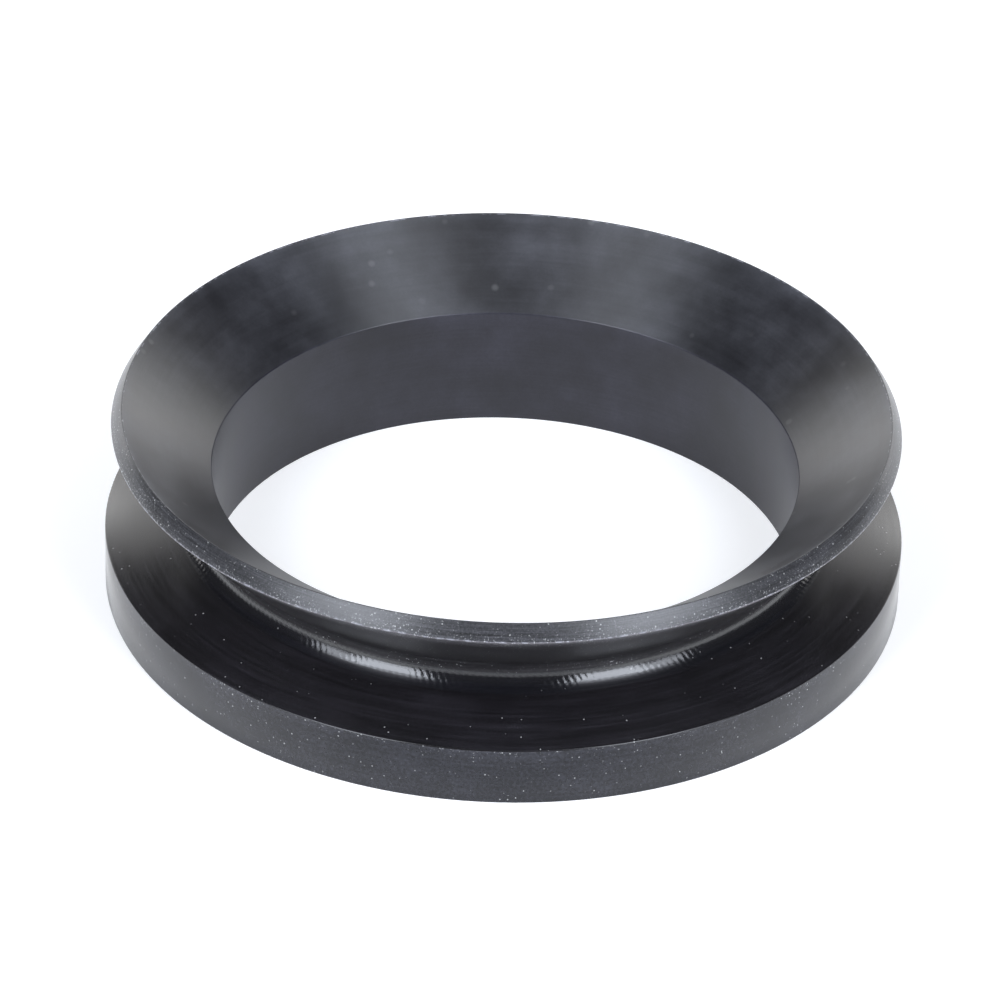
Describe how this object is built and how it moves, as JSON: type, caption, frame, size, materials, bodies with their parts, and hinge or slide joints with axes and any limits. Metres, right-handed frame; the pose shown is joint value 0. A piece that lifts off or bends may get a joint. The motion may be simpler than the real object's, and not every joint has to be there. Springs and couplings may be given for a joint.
{
  "type": "v-ring shaft seal",
  "caption": "One-piece rubber V-ring: a ring body with a flat heel and a plain bore, and a thin conical lip above an outer V groove, which seals axially against a face.",
  "frame": {"origin": "on the ring's axis, at its flat heel face", "axes": "+Z along the axis, from the heel towards the lip; the ring is the same all round"},
  "size_m": [0.03, 0.03, 0.0074],
  "materials": {
    "rubber": "satin"
  },
  "bodies": {
    "root": {"seal_ring": "rubber"}
  },
  "joints": []
}
